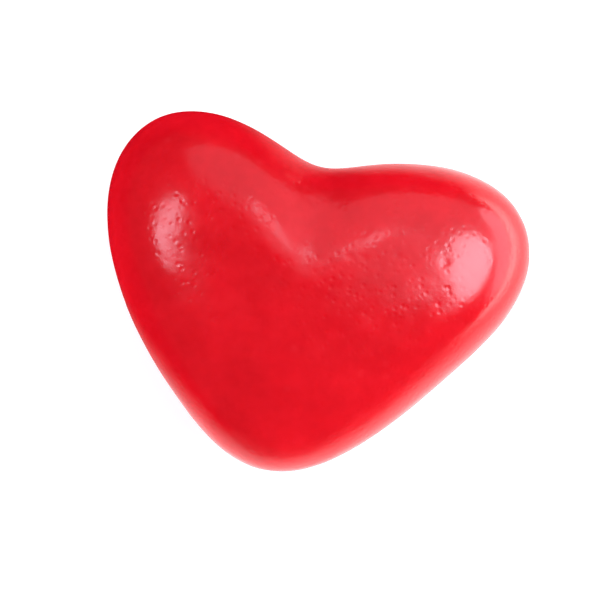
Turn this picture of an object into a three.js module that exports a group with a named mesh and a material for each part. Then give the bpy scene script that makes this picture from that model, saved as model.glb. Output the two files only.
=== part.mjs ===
// A heart-shaped jelly bean: one piece of soft jelly in a thin polished sugar shell.
// Millimetres, +Z up. It lies on its flatter side, with the notch towards +Y and the tip towards -Y.
// The origin is on the resting surface, under the middle of the bean's box.

import * as THREE from 'three';
import { mergeVertices } from 'three/addons/utils/BufferGeometryUtils.js';

// The outline seen from above: a round body with a lobe on each side, a tip and a notch. Each swells
// or dents the body around one bearing, in degrees from +X, and a higher sharpness keeps it narrower.
const BODY_RADIUS = 6.95;
const OUTLINE_SWELLS = [
  { name: 'left lobe', bearing: 142, height: 4.5, sharpness: 3.4 },
  { name: 'right lobe', bearing: 29, height: 4.2, sharpness: 5.4 },
  { name: 'tip', bearing: -91, height: 1.1, sharpness: 7.3 },
  { name: 'notch', bearing: 99.5, height: -2, sharpness: 8.6 },
];
const HOLLOW_SPREAD = 0.5; // 0 runs the notch to the middle as a crease, and 1 keeps it at the edge

// The cross-section: a rounded edge band of the same width all round, and a gently domed face.
const RISE = 5.1; // from the widest line up to the middle of the face
const DROP = 5.05; // from the widest line down to the middle of the underside, before it is flattened
const EDGE_BAND = 3; // a wider band makes the edge rounder and the face smaller
const TOP_ROUNDNESS = 2.6; // 2 makes an elliptic edge, and more makes a squarer one
const UNDER_ROUNDNESS = 2.5;
const FALL_TO_EDGE = 0.1; // share of the height that the faces lose this far from the middle:
const FALL_REACH = 10;

const REST_DROP = 4.8; // from the widest line down to the flat that the bean rests on
const REST_MELT = 0.2; // how far that flat rounds into the underside

const UNEVENNESS = 0.035; // height of each of the slow swells that panning leaves
const SWELLS = 7;
const LONGEST_SWELL = 13;
const SWELL_STEP = 0.88; // each swell is this much shorter than the one before
const GOLDEN_ANGLE = Math.PI * (3 - Math.sqrt(5));

const FACETS_PER_EDGE = 19; // subdivisions of each edge of the icosahedron
const REACH = 16; // a ray this long always ends outside the bean
const HALVINGS = 36;
const WELD_GAP = 1e-5; // corners of the ball closer than this are the same corner

/** The smaller of two distances, rounded over a band where they are nearly equal. */
function melt(a, b, width) {
  const overlap = Math.max(width - Math.abs(a - b), 0);
  return Math.min(a, b) - (overlap * overlap) / (4 * width);
}

/** The distance along a ray at which a measure turns from negative to positive, found by halving. */
function crossing(measure) {
  let inside = 0;
  let outside = REACH;
  for (let i = 0; i < HALVINGS; i += 1) {
    const half = (inside + outside) / 2;
    if (measure(half) < 0) inside = half;
    else outside = half;
  }
  return inside;
}

/** How far the outline lies from the middle at a bearing. A share under 1 makes its swells wider. */
function outlineReach(bearing, share) {
  let reach = BODY_RADIUS;
  for (const part of OUTLINE_SWELLS) {
    const turn = bearing - THREE.MathUtils.degToRad(part.bearing);
    reach += part.height * Math.exp(part.sharpness * share * (Math.cos(turn) - 1));
  }
  return reach;
}

/** Slow swells: a sum of sine waves whose directions turn by the golden angle. */
function swell(point) {
  let height = 0;
  for (let i = 0; i < SWELLS; i += 1) {
    const turn = i * GOLDEN_ANGLE;
    const lean = 1 - (2 * i + 1) / SWELLS;
    const level = Math.sqrt(1 - lean * lean);
    const wave = (2 * Math.PI) / (LONGEST_SWELL * SWELL_STEP ** i);
    const travel = point.x * level * Math.cos(turn) + point.y * level * Math.sin(turn) + point.z * lean;
    height += UNEVENNESS * Math.sin(travel * wave + turn);
  }
  return height;
}

/**
 * Below zero inside the bean and above zero outside. Towards the middle of a face the swells of the
 * outline widen into each other, so the notch opens into a broad hollow that fades out.
 */
function beanMeasure(point) {
  const across = Math.hypot(point.x, point.y);
  const bearing = Math.atan2(point.y, point.x);
  const share = (across / outlineReach(bearing, 1)) ** HOLLOW_SPREAD;
  const outline = outlineReach(bearing, share);
  const fall = 1 - FALL_TO_EDGE * (across / FALL_REACH) ** 2;
  const above = point.z > 0;
  const height = Math.abs(point.z) / ((above ? RISE : DROP) * fall);
  const roundness = above ? TOP_ROUNDNESS : UNDER_ROUNDNESS;
  const fullness = (across / outline) ** (outline / EDGE_BAND) + height ** roundness;
  const body = (fullness - 1) * EDGE_BAND - swell(point);
  return -melt(-body, point.z + REST_DROP, REST_MELT);
}

/** A ball of even triangles drawn out to the bean's surface, set down on its flat. */
function beanGeometry() {
  const ball = new THREE.IcosahedronGeometry(1, FACETS_PER_EDGE);
  ball.deleteAttribute('normal');
  ball.deleteAttribute('uv');
  const shell = mergeVertices(ball, WELD_GAP);
  const corners = shell.getAttribute('position');
  const direction = new THREE.Vector3();
  const point = new THREE.Vector3();
  for (let i = 0; i < corners.count; i += 1) {
    direction.fromBufferAttribute(corners, i).normalize();
    const reach = crossing((length) => beanMeasure(point.copy(direction).multiplyScalar(length)));
    point.copy(direction).multiplyScalar(reach);
    corners.setXYZ(i, point.x, point.y, point.z);
  }
  shell.computeBoundingBox();
  const centre = shell.boundingBox.getCenter(new THREE.Vector3());
  shell.translate(-centre.x, -centre.y, REST_DROP);
  shell.computeVertexNormals();
  return shell;
}

const sugarShell = new THREE.MeshStandardMaterial({ color: 0xe31825, roughness: 0.25, metalness: 0 });

const bean = new THREE.Mesh(beanGeometry(), sugarShell);
bean.name = 'bean';

const jellyBean = new THREE.Group();
jellyBean.add(bean);

export default jellyBean;
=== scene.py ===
import math

import bpy
import numpy as np
from mathutils import Matrix, Vector


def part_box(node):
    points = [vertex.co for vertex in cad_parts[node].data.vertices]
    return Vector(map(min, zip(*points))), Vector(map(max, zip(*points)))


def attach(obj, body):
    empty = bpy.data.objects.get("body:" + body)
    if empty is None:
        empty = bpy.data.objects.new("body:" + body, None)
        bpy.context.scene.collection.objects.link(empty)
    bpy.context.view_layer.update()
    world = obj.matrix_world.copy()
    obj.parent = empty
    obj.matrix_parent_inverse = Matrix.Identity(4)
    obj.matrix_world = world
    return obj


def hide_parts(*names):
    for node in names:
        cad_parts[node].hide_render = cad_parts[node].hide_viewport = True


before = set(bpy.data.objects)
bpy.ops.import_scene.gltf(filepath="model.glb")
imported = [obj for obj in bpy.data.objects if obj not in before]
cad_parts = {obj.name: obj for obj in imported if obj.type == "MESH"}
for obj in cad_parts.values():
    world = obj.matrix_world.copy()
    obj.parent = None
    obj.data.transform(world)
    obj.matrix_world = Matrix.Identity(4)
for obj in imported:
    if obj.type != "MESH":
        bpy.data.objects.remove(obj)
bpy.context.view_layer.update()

# The bean: a soft jelly cast in the shape of a heart, then tumbled with sugar syrup and colour in a
# turning pan until a thin shell has built up all over it, and polished there with wax.
# It is one piece, and it lies on its flatter side. Sizes are in millimetres until the mesh is made.

MM = 0.001

# The outline seen from above is a round body with swells and dents. Each has a bearing in degrees from
# +X, a height, and a sharpness that keeps it narrow.
BODY_RADIUS = 6.95
OUTLINE_SWELLS = {
    "left lobe": (142, 4.5, 3.4),
    "right lobe": (29, 4.2, 5.4),
    "tip": (-91, 1.1, 7.3),
    "notch": (99.5, -2, 8.6),
}
HOLLOW_SPREAD = 0.5  # 0 runs the notch to the middle as a crease, and 1 keeps it at the edge

# The cross-section: the heights of the faces above and below the widest line, and a rounded edge band
# of the same width all round.
RISE = 5.1
DROP = 5.05
EDGE_BAND = 3
TOP_ROUNDNESS = 2.6
UNDER_ROUNDNESS = 2.5
FALL_TO_EDGE = 0.1  # share of the height that the faces lose this far from the middle:
FALL_REACH = 10
REST_DROP = 4.8  # from the widest line down to the flat that the bean rests on
REST_MELT = 0.2  # how far that flat rounds into the underside

# The slow swells that panning leaves.
UNEVENNESS = 0.035
SWELLS = 7
LONGEST_SWELL = 13
SWELL_STEP = 0.88
GOLDEN_ANGLE = math.pi * (3 - math.sqrt(5))

SQUARES_PER_EDGE = 127  # along each edge of the cube that the ball is made from
REACH = 16  # a ray this long always ends outside the bean
HALVINGS = 36
GRADIENT_STEP = 0.01


def ball_of_squares(count):
    """Directions and squares of a ball: each face of a cube is a grid of count by count squares.

    A grid point (i, j) lies at tan(45 deg * (2 i / count - 1)) and the same of j across its face, which
    keeps the squares nearly even once the point is drawn to length 1. Points on the cube's edges are
    shared by the faces that meet there.
    """
    i, j = np.meshgrid(np.arange(count + 1), np.arange(count + 1), indexing="ij")
    full = np.full_like(i, count)
    none = np.zeros_like(i)
    faces = [(full, i, j), (none, j, i), (j, full, i), (i, none, j), (i, j, full), (j, i, none)]
    steps = np.concatenate([np.stack(face, axis=-1).reshape(-1, 3) for face in faces])
    steps, shared = np.unique(steps, axis=0, return_inverse=True)
    across = np.tan((2 * steps / count - 1) * math.pi / 4)
    directions = across / np.linalg.norm(across, axis=1, keepdims=True)
    numbers = shared.reshape(len(faces), count + 1, count + 1)
    corners = (numbers[:, :-1, :-1], numbers[:, 1:, :-1], numbers[:, 1:, 1:], numbers[:, :-1, 1:])
    return directions, np.stack(corners, axis=-1).reshape(-1, 4)


def outline_reach(bearing, share):
    """Reach of the outline at a bearing, where a share under 1 makes its swells wider.

    Reach: body radius + the sum of height * exp(sharpness * share * (cos(bearing - own) - 1)).
    """
    reach = np.full_like(bearing, BODY_RADIUS)
    for own, height, sharpness in OUTLINE_SWELLS.values():
        reach += height * np.exp(sharpness * share * (np.cos(bearing - math.radians(own)) - 1))
    return reach


def slow_swell(points):
    """Unevenness of the pan-built shell: the sum of unevenness * sin(2 pi point . way / length + turn).

    Each swell is shorter than the one before, and its way is turned on by the golden angle, on a spiral
    from the top of a ball to its foot.
    """
    height = np.zeros(len(points))
    for i in range(SWELLS):
        turn = i * GOLDEN_ANGLE
        lean = 1 - (2 * i + 1) / SWELLS
        level = math.sqrt(1 - lean * lean)
        way = np.array([level * math.cos(turn), level * math.sin(turn), lean])
        length = LONGEST_SWELL * SWELL_STEP**i
        height += UNEVENNESS * np.sin(points @ way * (2 * math.pi / length) + turn)
    return height


def bean_measure(points):
    """Below zero inside the bean and above zero outside, close to a distance in millimetres.

    Body: (across / outline)^(outline / edge band) + (|z| / height)^roundness - 1, times the edge band,
    less the slow swells. Towards the middle of a face the outline's swells widen into each other, by
    (across / full outline)^spread, so the notch opens into a broad hollow that fades out. The body is
    then cut by the resting plane, and the cut is rounded a little.
    """
    across = np.hypot(points[:, 0], points[:, 1])
    bearing = np.arctan2(points[:, 1], points[:, 0])
    share = (across / outline_reach(bearing, 1)) ** HOLLOW_SPREAD
    outline = outline_reach(bearing, share)
    above = points[:, 2] > 0
    fall = 1 - FALL_TO_EDGE * (across / FALL_REACH) ** 2
    height = np.abs(points[:, 2]) / (np.where(above, RISE, DROP) * fall)
    fullness = (across / outline) ** (outline / EDGE_BAND)
    fullness += height ** np.where(above, TOP_ROUNDNESS, UNDER_ROUNDNESS)
    body = (fullness - 1) * EDGE_BAND - slow_swell(points)
    under = -points[:, 2] - REST_DROP
    overlap = np.maximum(REST_MELT - np.abs(body - under), 0)
    return np.maximum(body, under) + overlap**2 / (4 * REST_MELT)


def drawn_out(directions):
    """Points where rays from the middle meet the bean, found by halving between inside and outside."""
    inside = np.zeros(len(directions))
    outside = np.full(len(directions), float(REACH))
    for _ in range(HALVINGS):
        half = (inside + outside) / 2
        within = bean_measure(directions * half[:, None]) < 0
        inside = np.where(within, half, inside)
        outside = np.where(within, outside, half)
    return directions * inside[:, None]


def outward(points):
    """Unit normals: the change of the bean's measure over a small step along X, Y and Z, at length 1."""
    slopes = []
    for axis in np.eye(3) * GRADIENT_STEP:
        slopes.append(bean_measure(points + axis) - bean_measure(points - axis))
    slopes = np.stack(slopes, axis=1)
    return slopes / np.linalg.norm(slopes, axis=1, keepdims=True)


# The shell's fine relief: low rolling waves, orange peel, clustered pits and grains of sugar. The depth
# of a pit and the height of a grain are shares of its radius.
ROLLING = {"longest": 3.2, "shortest": 1.4, "waves": 30, "height": 0.004}
ORANGE_PEEL = {"longest": 0.9, "shortest": 0.45, "waves": 70, "height": 0.0008}
PIT_CLUSTERS = 10
PITS_PER_CLUSTER = 5
CLUSTER_SPREAD = 1.0
PIT_RADIUS = (0.14, 0.3)
PIT_DEPTH = 0.04
GRAINS = 30
GRAIN_RADIUS = (0.14, 0.24)
GRAIN_HEIGHT = 0.035
SHELL_SEED = 11

# The relief begins at the first height above the resting flat, and is full from the second.
SMOOTH_BELOW = 0.25
ROUGH_ABOVE = 1.2

# Dents in the top, where this bean touched others while the shell was soft. The first is broad and
# shallow, and deepens the saddle below the notch.
DENTS = [
    {"x": 0, "y": 4.4, "radius": 3.6, "depth": 0.11},
    {"x": 6.36, "y": 3.27, "radius": 0.36, "depth": 0.022},
    {"x": 1.81, "y": 2.62, "radius": 0.3, "depth": 0.012},
    {"x": -3.83, "y": -1.41, "radius": 0.26, "depth": 0.01},
]


def ripple(points, kind, dice):
    """Random waves: height * sqrt(2 / waves) * the sum of sin(2 pi point . way / length + start).

    The root keeps their usual height the same, however many waves there are.
    """
    ways = dice.normal(size=(kind["waves"], 3))
    ways /= np.linalg.norm(ways, axis=1, keepdims=True)
    lengths = dice.uniform(kind["shortest"], kind["longest"], kind["waves"])
    starts = dice.uniform(0, 2 * math.pi, kind["waves"])
    waves = np.sin(points @ (ways * (2 * math.pi / lengths)[:, None]).T + starts)
    return kind["height"] * waves.sum(axis=1) * math.sqrt(2 / kind["waves"])


def spot(points, centre, radius):
    """A round spot that is 1 at its centre and fades to 0 at its radius: (1 - (distance / radius)^2)^2."""
    near = np.maximum(1 - ((points - centre) ** 2).sum(axis=1) / radius**2, 0)
    return near * near


def shell_relief(points):
    """Height of the shell's fine relief: waves and grains are added, and pits and dents taken away.

    It is multiplied by climb^2 * (3 - 2 climb), where climb runs from 0 to 1 above the resting flat, so
    the flat stays level.
    """
    dice = np.random.default_rng(SHELL_SEED)
    relief = ripple(points, ROLLING, dice) + ripple(points, ORANGE_PEEL, dice)
    for hub in points[dice.integers(len(points), size=PIT_CLUSTERS)]:
        places = hub + dice.normal(size=(PITS_PER_CLUSTER, 3)) * CLUSTER_SPREAD
        for place in places:
            nearest = points[np.argmin(((points - place) ** 2).sum(axis=1))]
            radius = dice.uniform(*PIT_RADIUS)
            relief -= PIT_DEPTH * radius * spot(points, nearest, radius)
    top = points[points[:, 2] > 0]
    for dent in DENTS:
        nearest = top[np.argmin((top[:, 0] - dent["x"]) ** 2 + (top[:, 1] - dent["y"]) ** 2)]
        relief -= dent["depth"] * spot(points, nearest, dent["radius"])
    for place in points[dice.integers(len(points), size=GRAINS)]:
        radius = dice.uniform(*GRAIN_RADIUS)
        relief += GRAIN_HEIGHT * radius * spot(points, place, radius)
    climb = np.clip((points[:, 2] + REST_DROP - SMOOTH_BELOW) / (ROUGH_ABOVE - SMOOTH_BELOW), 0, 1)
    return relief * climb * climb * (3 - 2 * climb)


directions, squares = ball_of_squares(SQUARES_PER_EDGE)
smooth_shell = drawn_out(directions)
shell = smooth_shell + outward(smooth_shell) * shell_relief(smooth_shell)[:, None]

# The bean is set down with the middle of its box over the middle of the solid's box.
low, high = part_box("bean")
middle = (smooth_shell.min(axis=0) + smooth_shell.max(axis=0)) / 2
shell -= [middle[0], middle[1], -REST_DROP]
shell *= MM
shell += [(low.x + high.x) / 2, (low.y + high.y) / 2, low.z]

bean_mesh = bpy.data.meshes.new("sugar_shell")
bean_mesh.vertices.add(len(shell))
bean_mesh.vertices.foreach_set("co", shell.ravel())
bean_mesh.loops.add(squares.size)
bean_mesh.loops.foreach_set("vertex_index", squares.ravel())
bean_mesh.polygons.add(len(squares))
bean_mesh.polygons.foreach_set("loop_start", np.arange(0, squares.size, squares.shape[1]))
bean_mesh.update(calc_edges=True)
bean_mesh.validate()
bean_mesh.shade_smooth()
bean = bpy.data.objects.new("sugar_shell", bean_mesh)
bpy.context.scene.collection.objects.link(bean)

# The shell's finish: red sugar, clouded where the syrup dried thicker and flecked with paler grains,
# under a wax polish with duller spots and a skin of tiny pocks. Light sinks in and spreads as in jelly.
# Sizes are in millimetres.
DEEP_RED = (0.46, 0.0028, 0.0074, 1)
CLEAR_RED = (0.54, 0.0045, 0.0106, 1)
NOISE_MIDDLE = (0.3, 0.7)  # nearly all of a noise lies between these values
CLOUD_SIZE = 2.6
CLOUD_SHARE = 0.65
MOTTLE_SIZE = 0.5
MOTTLE_SHARE = 0.35

SUGAR_PINK = (0.7, 0.05, 0.065, 1)
FLECK_SPACING = 1.1
FLECK_RADIUS = 0.3
FLECK_SHARE = 0.2  # of the grains that show at all
FLECK_STRENGTH = 0.1

POLISH = (0.15, 0.21)  # roughness where the wax is well rubbed and where it is less so
POLISH_SIZE = 1.4
DULL_SPOT_SIZE = 0.5
DULL_SPOT_RANGE = (0.35, 0.75)
DULL_SPOT_GAIN = 0.03

POCK_SPACING = 0.36
POCK_RADIUS = 0.17
POCK_DEPTH = 0.006
RIPPLE_SIZE = 0.24
RIPPLE_SHARE = 0.5  # of the depth of a pock

GLAZE_IOR = 1.52
JELLY_DEPTH = 2  # how far light spreads in the jelly; red, green and blue go these shares of it:
JELLY_SPREAD = (1.0, 0.4, 0.35)

shell_finish = bpy.data.materials.new("polished_sugar_shell")
shell_finish.use_nodes = True
finish_nodes = shell_finish.node_tree.nodes
glaze = finish_nodes["Principled BSDF"]
place = finish_nodes.new("ShaderNodeTexCoord").outputs["Object"]


def feed(socket, value):
    """Gives a socket its number or colour, or links it to another node's output."""
    if isinstance(value, bpy.types.NodeSocket):
        socket.id_data.links.new(value, socket)
    else:
        socket.default_value = value


def lumps(place, size, detail):
    """Noise from 0 to 1 with lumps of about the given size in millimetres. Detail adds finer layers."""
    noise = place.id_data.nodes.new("ShaderNodeTexNoise")
    feed(noise.inputs["Scale"], 1 / (size * MM))
    feed(noise.inputs["Detail"], detail)
    feed(noise.inputs["Vector"], place)
    return noise.outputs["Fac"]


def cells(place, spacing):
    """Space parted into cells round scattered points, about the given spacing in millimetres apart."""
    parting = place.id_data.nodes.new("ShaderNodeTexVoronoi")
    feed(parting.inputs["Scale"], 1 / (spacing * MM))
    feed(parting.inputs["Vector"], place)
    return parting


def ranged(value, low, high, new_low, new_high):
    """New_low below low and new_high above high: between them share^2 * (3 - 2 share) of the way."""
    span = value.id_data.nodes.new("ShaderNodeMapRange")
    span.interpolation_type = "SMOOTHSTEP"
    feed(span.inputs["Value"], value)
    feed(span.inputs["From Min"], low)
    feed(span.inputs["From Max"], high)
    feed(span.inputs["To Min"], new_low)
    feed(span.inputs["To Max"], new_high)
    return span.outputs["Result"]


def reckoned(how, value, other):
    """The sum or product of a value with another value or a number."""
    step = value.id_data.nodes.new("ShaderNodeMath")
    step.operation = how
    feed(step.inputs[0], value)
    feed(step.inputs[1], other)
    return step.outputs["Value"]


def blended(share, first, second, kind="Color"):
    """First + share * (second - first), for two colours, or for two values if the kind is Float."""
    blend = share.id_data.nodes.new("ShaderNodeMix")
    blend.data_type = {"Color": "RGBA", "Float": "FLOAT"}[kind]
    ends = {end.identifier: end for end in [*blend.inputs, *blend.outputs]}
    feed(ends["Factor_Float"], share)
    feed(ends["A_" + kind], first)
    feed(ends["B_" + kind], second)
    return ends["Result_" + kind]


grains = cells(place, FLECK_SPACING)
chance = finish_nodes.new("ShaderNodeSeparateColor")
feed(chance.inputs["Color"], grains.outputs["Color"])
round_fleck = ranged(grains.outputs["Distance"], 0, FLECK_RADIUS / FLECK_SPACING, 1, 0)
chosen = ranged(chance.outputs["Red"], 1 - FLECK_SHARE, 1, 0, FLECK_STRENGTH)
fleck = reckoned("MULTIPLY", round_fleck, chosen)

clouds = ranged(lumps(place, CLOUD_SIZE, detail=2), *NOISE_MIDDLE, 0, CLOUD_SHARE)
mottling = ranged(lumps(place, MOTTLE_SIZE, detail=3), *NOISE_MIDDLE, 0, MOTTLE_SHARE)
clouded_red = blended(reckoned("ADD", clouds, mottling), DEEP_RED, CLEAR_RED)
feed(glaze.inputs["Base Color"], blended(fleck, clouded_red, SUGAR_PINK))

polish = ranged(lumps(place, POLISH_SIZE, detail=2), *NOISE_MIDDLE, *POLISH)
dull_spots = ranged(lumps(place, DULL_SPOT_SIZE, detail=1), *DULL_SPOT_RANGE, 0, DULL_SPOT_GAIN)
feed(glaze.inputs["Roughness"], reckoned("ADD", polish, dull_spots))

pocked = ranged(cells(place, POCK_SPACING).outputs["Distance"], 0, POCK_RADIUS / POCK_SPACING, 0, 1)
rippled = reckoned("MULTIPLY", lumps(place, RIPPLE_SIZE, detail=1), RIPPLE_SHARE)
skin = finish_nodes.new("ShaderNodeBump")
feed(skin.inputs["Distance"], POCK_DEPTH * MM)
feed(skin.inputs["Height"], reckoned("ADD", pocked, rippled))
feed(glaze.inputs["Normal"], skin.outputs["Normal"])

feed(glaze.inputs["IOR"], GLAZE_IOR)
feed(glaze.inputs["Subsurface Weight"], 1)
feed(glaze.inputs["Subsurface Radius"], JELLY_SPREAD)
feed(glaze.inputs["Subsurface Scale"], JELLY_DEPTH * MM)
bean_mesh.materials.append(shell_finish)

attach(bean, "root")
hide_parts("bean")

# The floor: a plain white tabletop under bright light, wide enough to fill the view from low angles.
# It glows a little, so that the bean casts only a faint shade where it touches. In the bean's gloss it
# shows
# painted reflections: a white glow on the near side and towards a painted window, and elsewhere painted
# red, as if more beans lay there.

LEAN = math.radians(11)  # how far clockwise the camera sees the heart turned

# Places and distances are in metres from the middle of the bean. Where there are two distances, the
# change begins at the first and ends at the second.
FLOOR_HALF = 0.6
FLOOR_WHITE = (0.6, 0.6, 0.6, 1)
FLOOR_DULLNESS = 0.8
FLOOR_GLOW = 0.55
GLOW_WHITE = (1, 1, 1, 1)

# How the glow lights the bean: less on the notch side.
GLOW_ON_BEAN = 2.1
GLOW_BY_NOTCH = 1.2
NOTCH_WAY = (0, 1, 0)
NOTCH_SIDE = (0, 0.012)

# How the tabletop shows in the bean's gloss, as a painted reflection: a glow on the side of this bearing,
# which fades with the distance from the bean and rises again round a painted window, where no window
# stands.
# The tabletop's colour in the gloss is a painted red reflection, as if more beans lay there.
FLOOR_IN_GLOSS = (0.3, 0.002, 0.008, 1)
GLOW_BEARING = math.radians(-38) + LEAN
BEAN_PLACE = (0, 0, 0)
GLOW_EDGE = (-0.01, 0.004)
GLOW_IN_GLOSS = 1.15
GLOW_REACH = (0.017, 0.042)
GLOW_FAR = 0.2
PAINTED_WINDOW_PLACE = (0.1, 0.04, 0)
PAINTED_WINDOW_REACH = (0.06, 0.092)
PAINTED_WINDOW_GLOW = 4

floor_mesh = bpy.data.meshes.new("tabletop")
floor_corners = [(-FLOOR_HALF, -FLOOR_HALF, 0), (FLOOR_HALF, -FLOOR_HALF, 0)]
floor_corners += [(FLOOR_HALF, FLOOR_HALF, 0), (-FLOOR_HALF, FLOOR_HALF, 0)]
floor_mesh.from_pydata(floor_corners, [], [(0, 1, 2, 3)])
floor = bpy.data.objects.new("tabletop", floor_mesh)
bpy.context.scene.collection.objects.link(floor)

white_top = bpy.data.materials.new("white_tabletop")
white_top.use_nodes = True
# The top is quite dull, and its glow isn't sampled as a lamp, because a lamp's light would be the same
# for the bean's gloss as for its red.
white_top.cycles.emission_sampling = "NONE"
top_nodes = white_top.node_tree.nodes
top_finish = top_nodes["Principled BSDF"]
feed(top_finish.inputs["Roughness"], FLOOR_DULLNESS)
feed(top_finish.inputs["Specular IOR Level"], 0)
feed(top_finish.inputs["Emission Color"], GLOW_WHITE)


def measured(how, place, other):
    """The dot product or the distance of a place and another place or direction."""
    measure = place.id_data.nodes.new("ShaderNodeVectorMath")
    measure.operation = how
    feed(measure.inputs[0], place)
    feed(measure.inputs[1], other)
    return measure.outputs["Value"]


place = top_nodes.new("ShaderNodeTexCoord").outputs["Object"]
glow_side = (math.cos(GLOW_BEARING), math.sin(GLOW_BEARING), 0)
near_side = ranged(measured("DOT_PRODUCT", place, glow_side), *GLOW_EDGE, 0, GLOW_IN_GLOSS)
close_by = ranged(measured("DISTANCE", place, BEAN_PLACE), *GLOW_REACH, 1, GLOW_FAR)
# The painted window: a glow in the tabletop where no window stands, seen only in the bean's gloss.
painted_window = ranged(measured("DISTANCE", place, PAINTED_WINDOW_PLACE), *PAINTED_WINDOW_REACH, PAINTED_WINDOW_GLOW, 0)
glow_in_gloss = reckoned("MULTIPLY", near_side, reckoned("ADD", close_by, painted_window))

towards_notch = measured("DOT_PRODUCT", place, NOTCH_WAY)
glow_on_bean = ranged(towards_notch, *NOTCH_SIDE, GLOW_ON_BEAN, GLOW_BY_NOTCH)

ray = top_nodes.new("ShaderNodeLightPath").outputs
glow_outside_gloss = blended(ray["Is Camera Ray"], glow_on_bean, FLOOR_GLOW, "Float")
whole_glow = blended(ray["Is Glossy Ray"], glow_outside_gloss, glow_in_gloss, "Float")
feed(top_finish.inputs["Emission Strength"], whole_glow)
feed(top_finish.inputs["Base Color"], blended(ray["Is Glossy Ray"], FLOOR_WHITE, FLOOR_IN_GLOSS))
floor_mesh.materials.append(white_top)

# The light: oval softboxes of white cloth, on stands and under the ceiling, set out along the sides of
# the camera's view. The room around them is dark in the bean's gloss, but looks pale to the camera.

DAYLIGHT = (1, 1, 1.15)
WIDE_OPEN = 180
VIEW_TURN = Matrix.Rotation(LEAN, 4, "Z")


def softbox(name, place, facing, roll, size, radiance, spread=WIDE_OPEN):
    """An oval light at a place, facing a direction and rolled by degrees about it. Sizes are in metres.

    Its power is radiance * area * pi, so it looks equally bright whatever its size. Its spread is the
    angle, in degrees, that its light fills.
    """
    area = size[0] * size[1] * math.pi / 4
    lamp = bpy.data.lights.new(name, "AREA")
    lamp.shape = "ELLIPSE"
    lamp.size, lamp.size_y = size
    lamp.color = DAYLIGHT
    lamp.spread = math.radians(spread)
    lamp.energy = radiance * area * math.pi
    box = bpy.data.objects.new(name, lamp)
    stand = Matrix.Translation(place) @ Vector(facing).to_track_quat("-Z", "Y").to_matrix().to_4x4()
    box.matrix_world = VIEW_TURN @ stand @ Matrix.Rotation(math.radians(roll), 4, "Z")
    box.visible_camera = False
    bpy.context.scene.collection.objects.link(box)
    return box


# The pale patches on the right and on the left lobe.
softbox("softbox_right", place=(0.6, 0.066, 0.683), facing=(-1, 0, 0), roll=-37,
        size=(0.566, 0.904), radiance=7.6)
softbox("softbox_left", place=(-0.6, 0.13, 0.84), facing=(1, 0, 0), roll=28,
        size=(0.22, 0.84), radiance=7.0)

# The faint glow beside the right patch, and the streak on the slope of the saddle.
softbox("softbox_high", place=(0.308, 0.03, 0.6), facing=(0, 0, -1), roll=32,
        size=(0.1, 0.26), radiance=2.9)
softbox("softbox_saddle", place=(0.085, 0.235, 0.6), facing=(0, 0, -1), roll=20,
        size=(0.13, 0.1), radiance=2.9)

# The broad, even sheen along the notch side, and the pale band inside the right edge.
softbox("panel_far", place=(0.22, 0.44, 0.56), facing=(-0.35, -0.44, -0.56), roll=-8,
        size=(1.5, 0.94), radiance=0.5, spread=150)
panel_right = softbox("panel_right", place=(0.67, 0.14, 0.112), facing=(-0.95, -0.2, -0.15), roll=10,
                      size=(1.02, 0.35), radiance=3.3)
panel_right.visible_diffuse = False

# Light that evens the red on the near and on the far side.
fill_near = softbox("fill_near", place=(-0.12, -0.5, 0.4), facing=(0.19, 0.8, -0.6), roll=0,
                    size=(1.0, 0.7), radiance=1.4)
fill_near.visible_glossy = False
fill_far = softbox("fill_far", place=(0.05, 0.3, 0.7), facing=(-0.05, -0.3, -0.7), roll=0,
                   size=(1.0, 0.5), radiance=1.3)
fill_far.visible_glossy = False

ROOM_DARK = (0.07, 0.07, 0.07, 1)  # in the gloss
ROOM_FILL = (0.39, 0.39, 0.39, 1)  # as light on the bean and the tabletop
ROOM_PALE = (0.94, 0.94, 0.95, 1)  # to the camera

# Like the tabletop's glow, the room isn't sampled as a lamp.
room = bpy.data.worlds.new("room")
room.use_nodes = True
room.cycles.sampling_method = "NONE"
room_nodes = room.node_tree.nodes
ray = room_nodes.new("ShaderNodeLightPath").outputs
behind_gloss = blended(ray["Is Glossy Ray"], ROOM_FILL, ROOM_DARK)
feed(room_nodes["Background"].inputs["Color"], blended(ray["Is Camera Ray"], behind_gloss, ROOM_PALE))
bpy.context.scene.world = room

# The camera: straight overhead on a long lens, turned so that the heart leans clockwise. It hangs at
# view width * lens / sensor width above the bean's widest line.

VIEW_WIDTH = 0.029  # in metres, at the widest line
LENS = 420  # like the sensor's width, in millimetres
SENSOR_WIDTH = 36
NEAREST_SEEN = 0.01

camera_data = bpy.data.cameras.new("overhead")
camera_data.lens = LENS
camera_data.sensor_width = SENSOR_WIDTH
camera_data.clip_start = NEAREST_SEEN
camera = bpy.data.objects.new("overhead", camera_data)
camera.location = (0, 0, REST_DROP * MM + VIEW_WIDTH * LENS / SENSOR_WIDTH)
camera.rotation_euler = (0, 0, LEAN)
bpy.context.scene.collection.objects.link(camera)
bpy.context.scene.camera = camera
bpy.context.scene.view_settings.view_transform = "Standard"
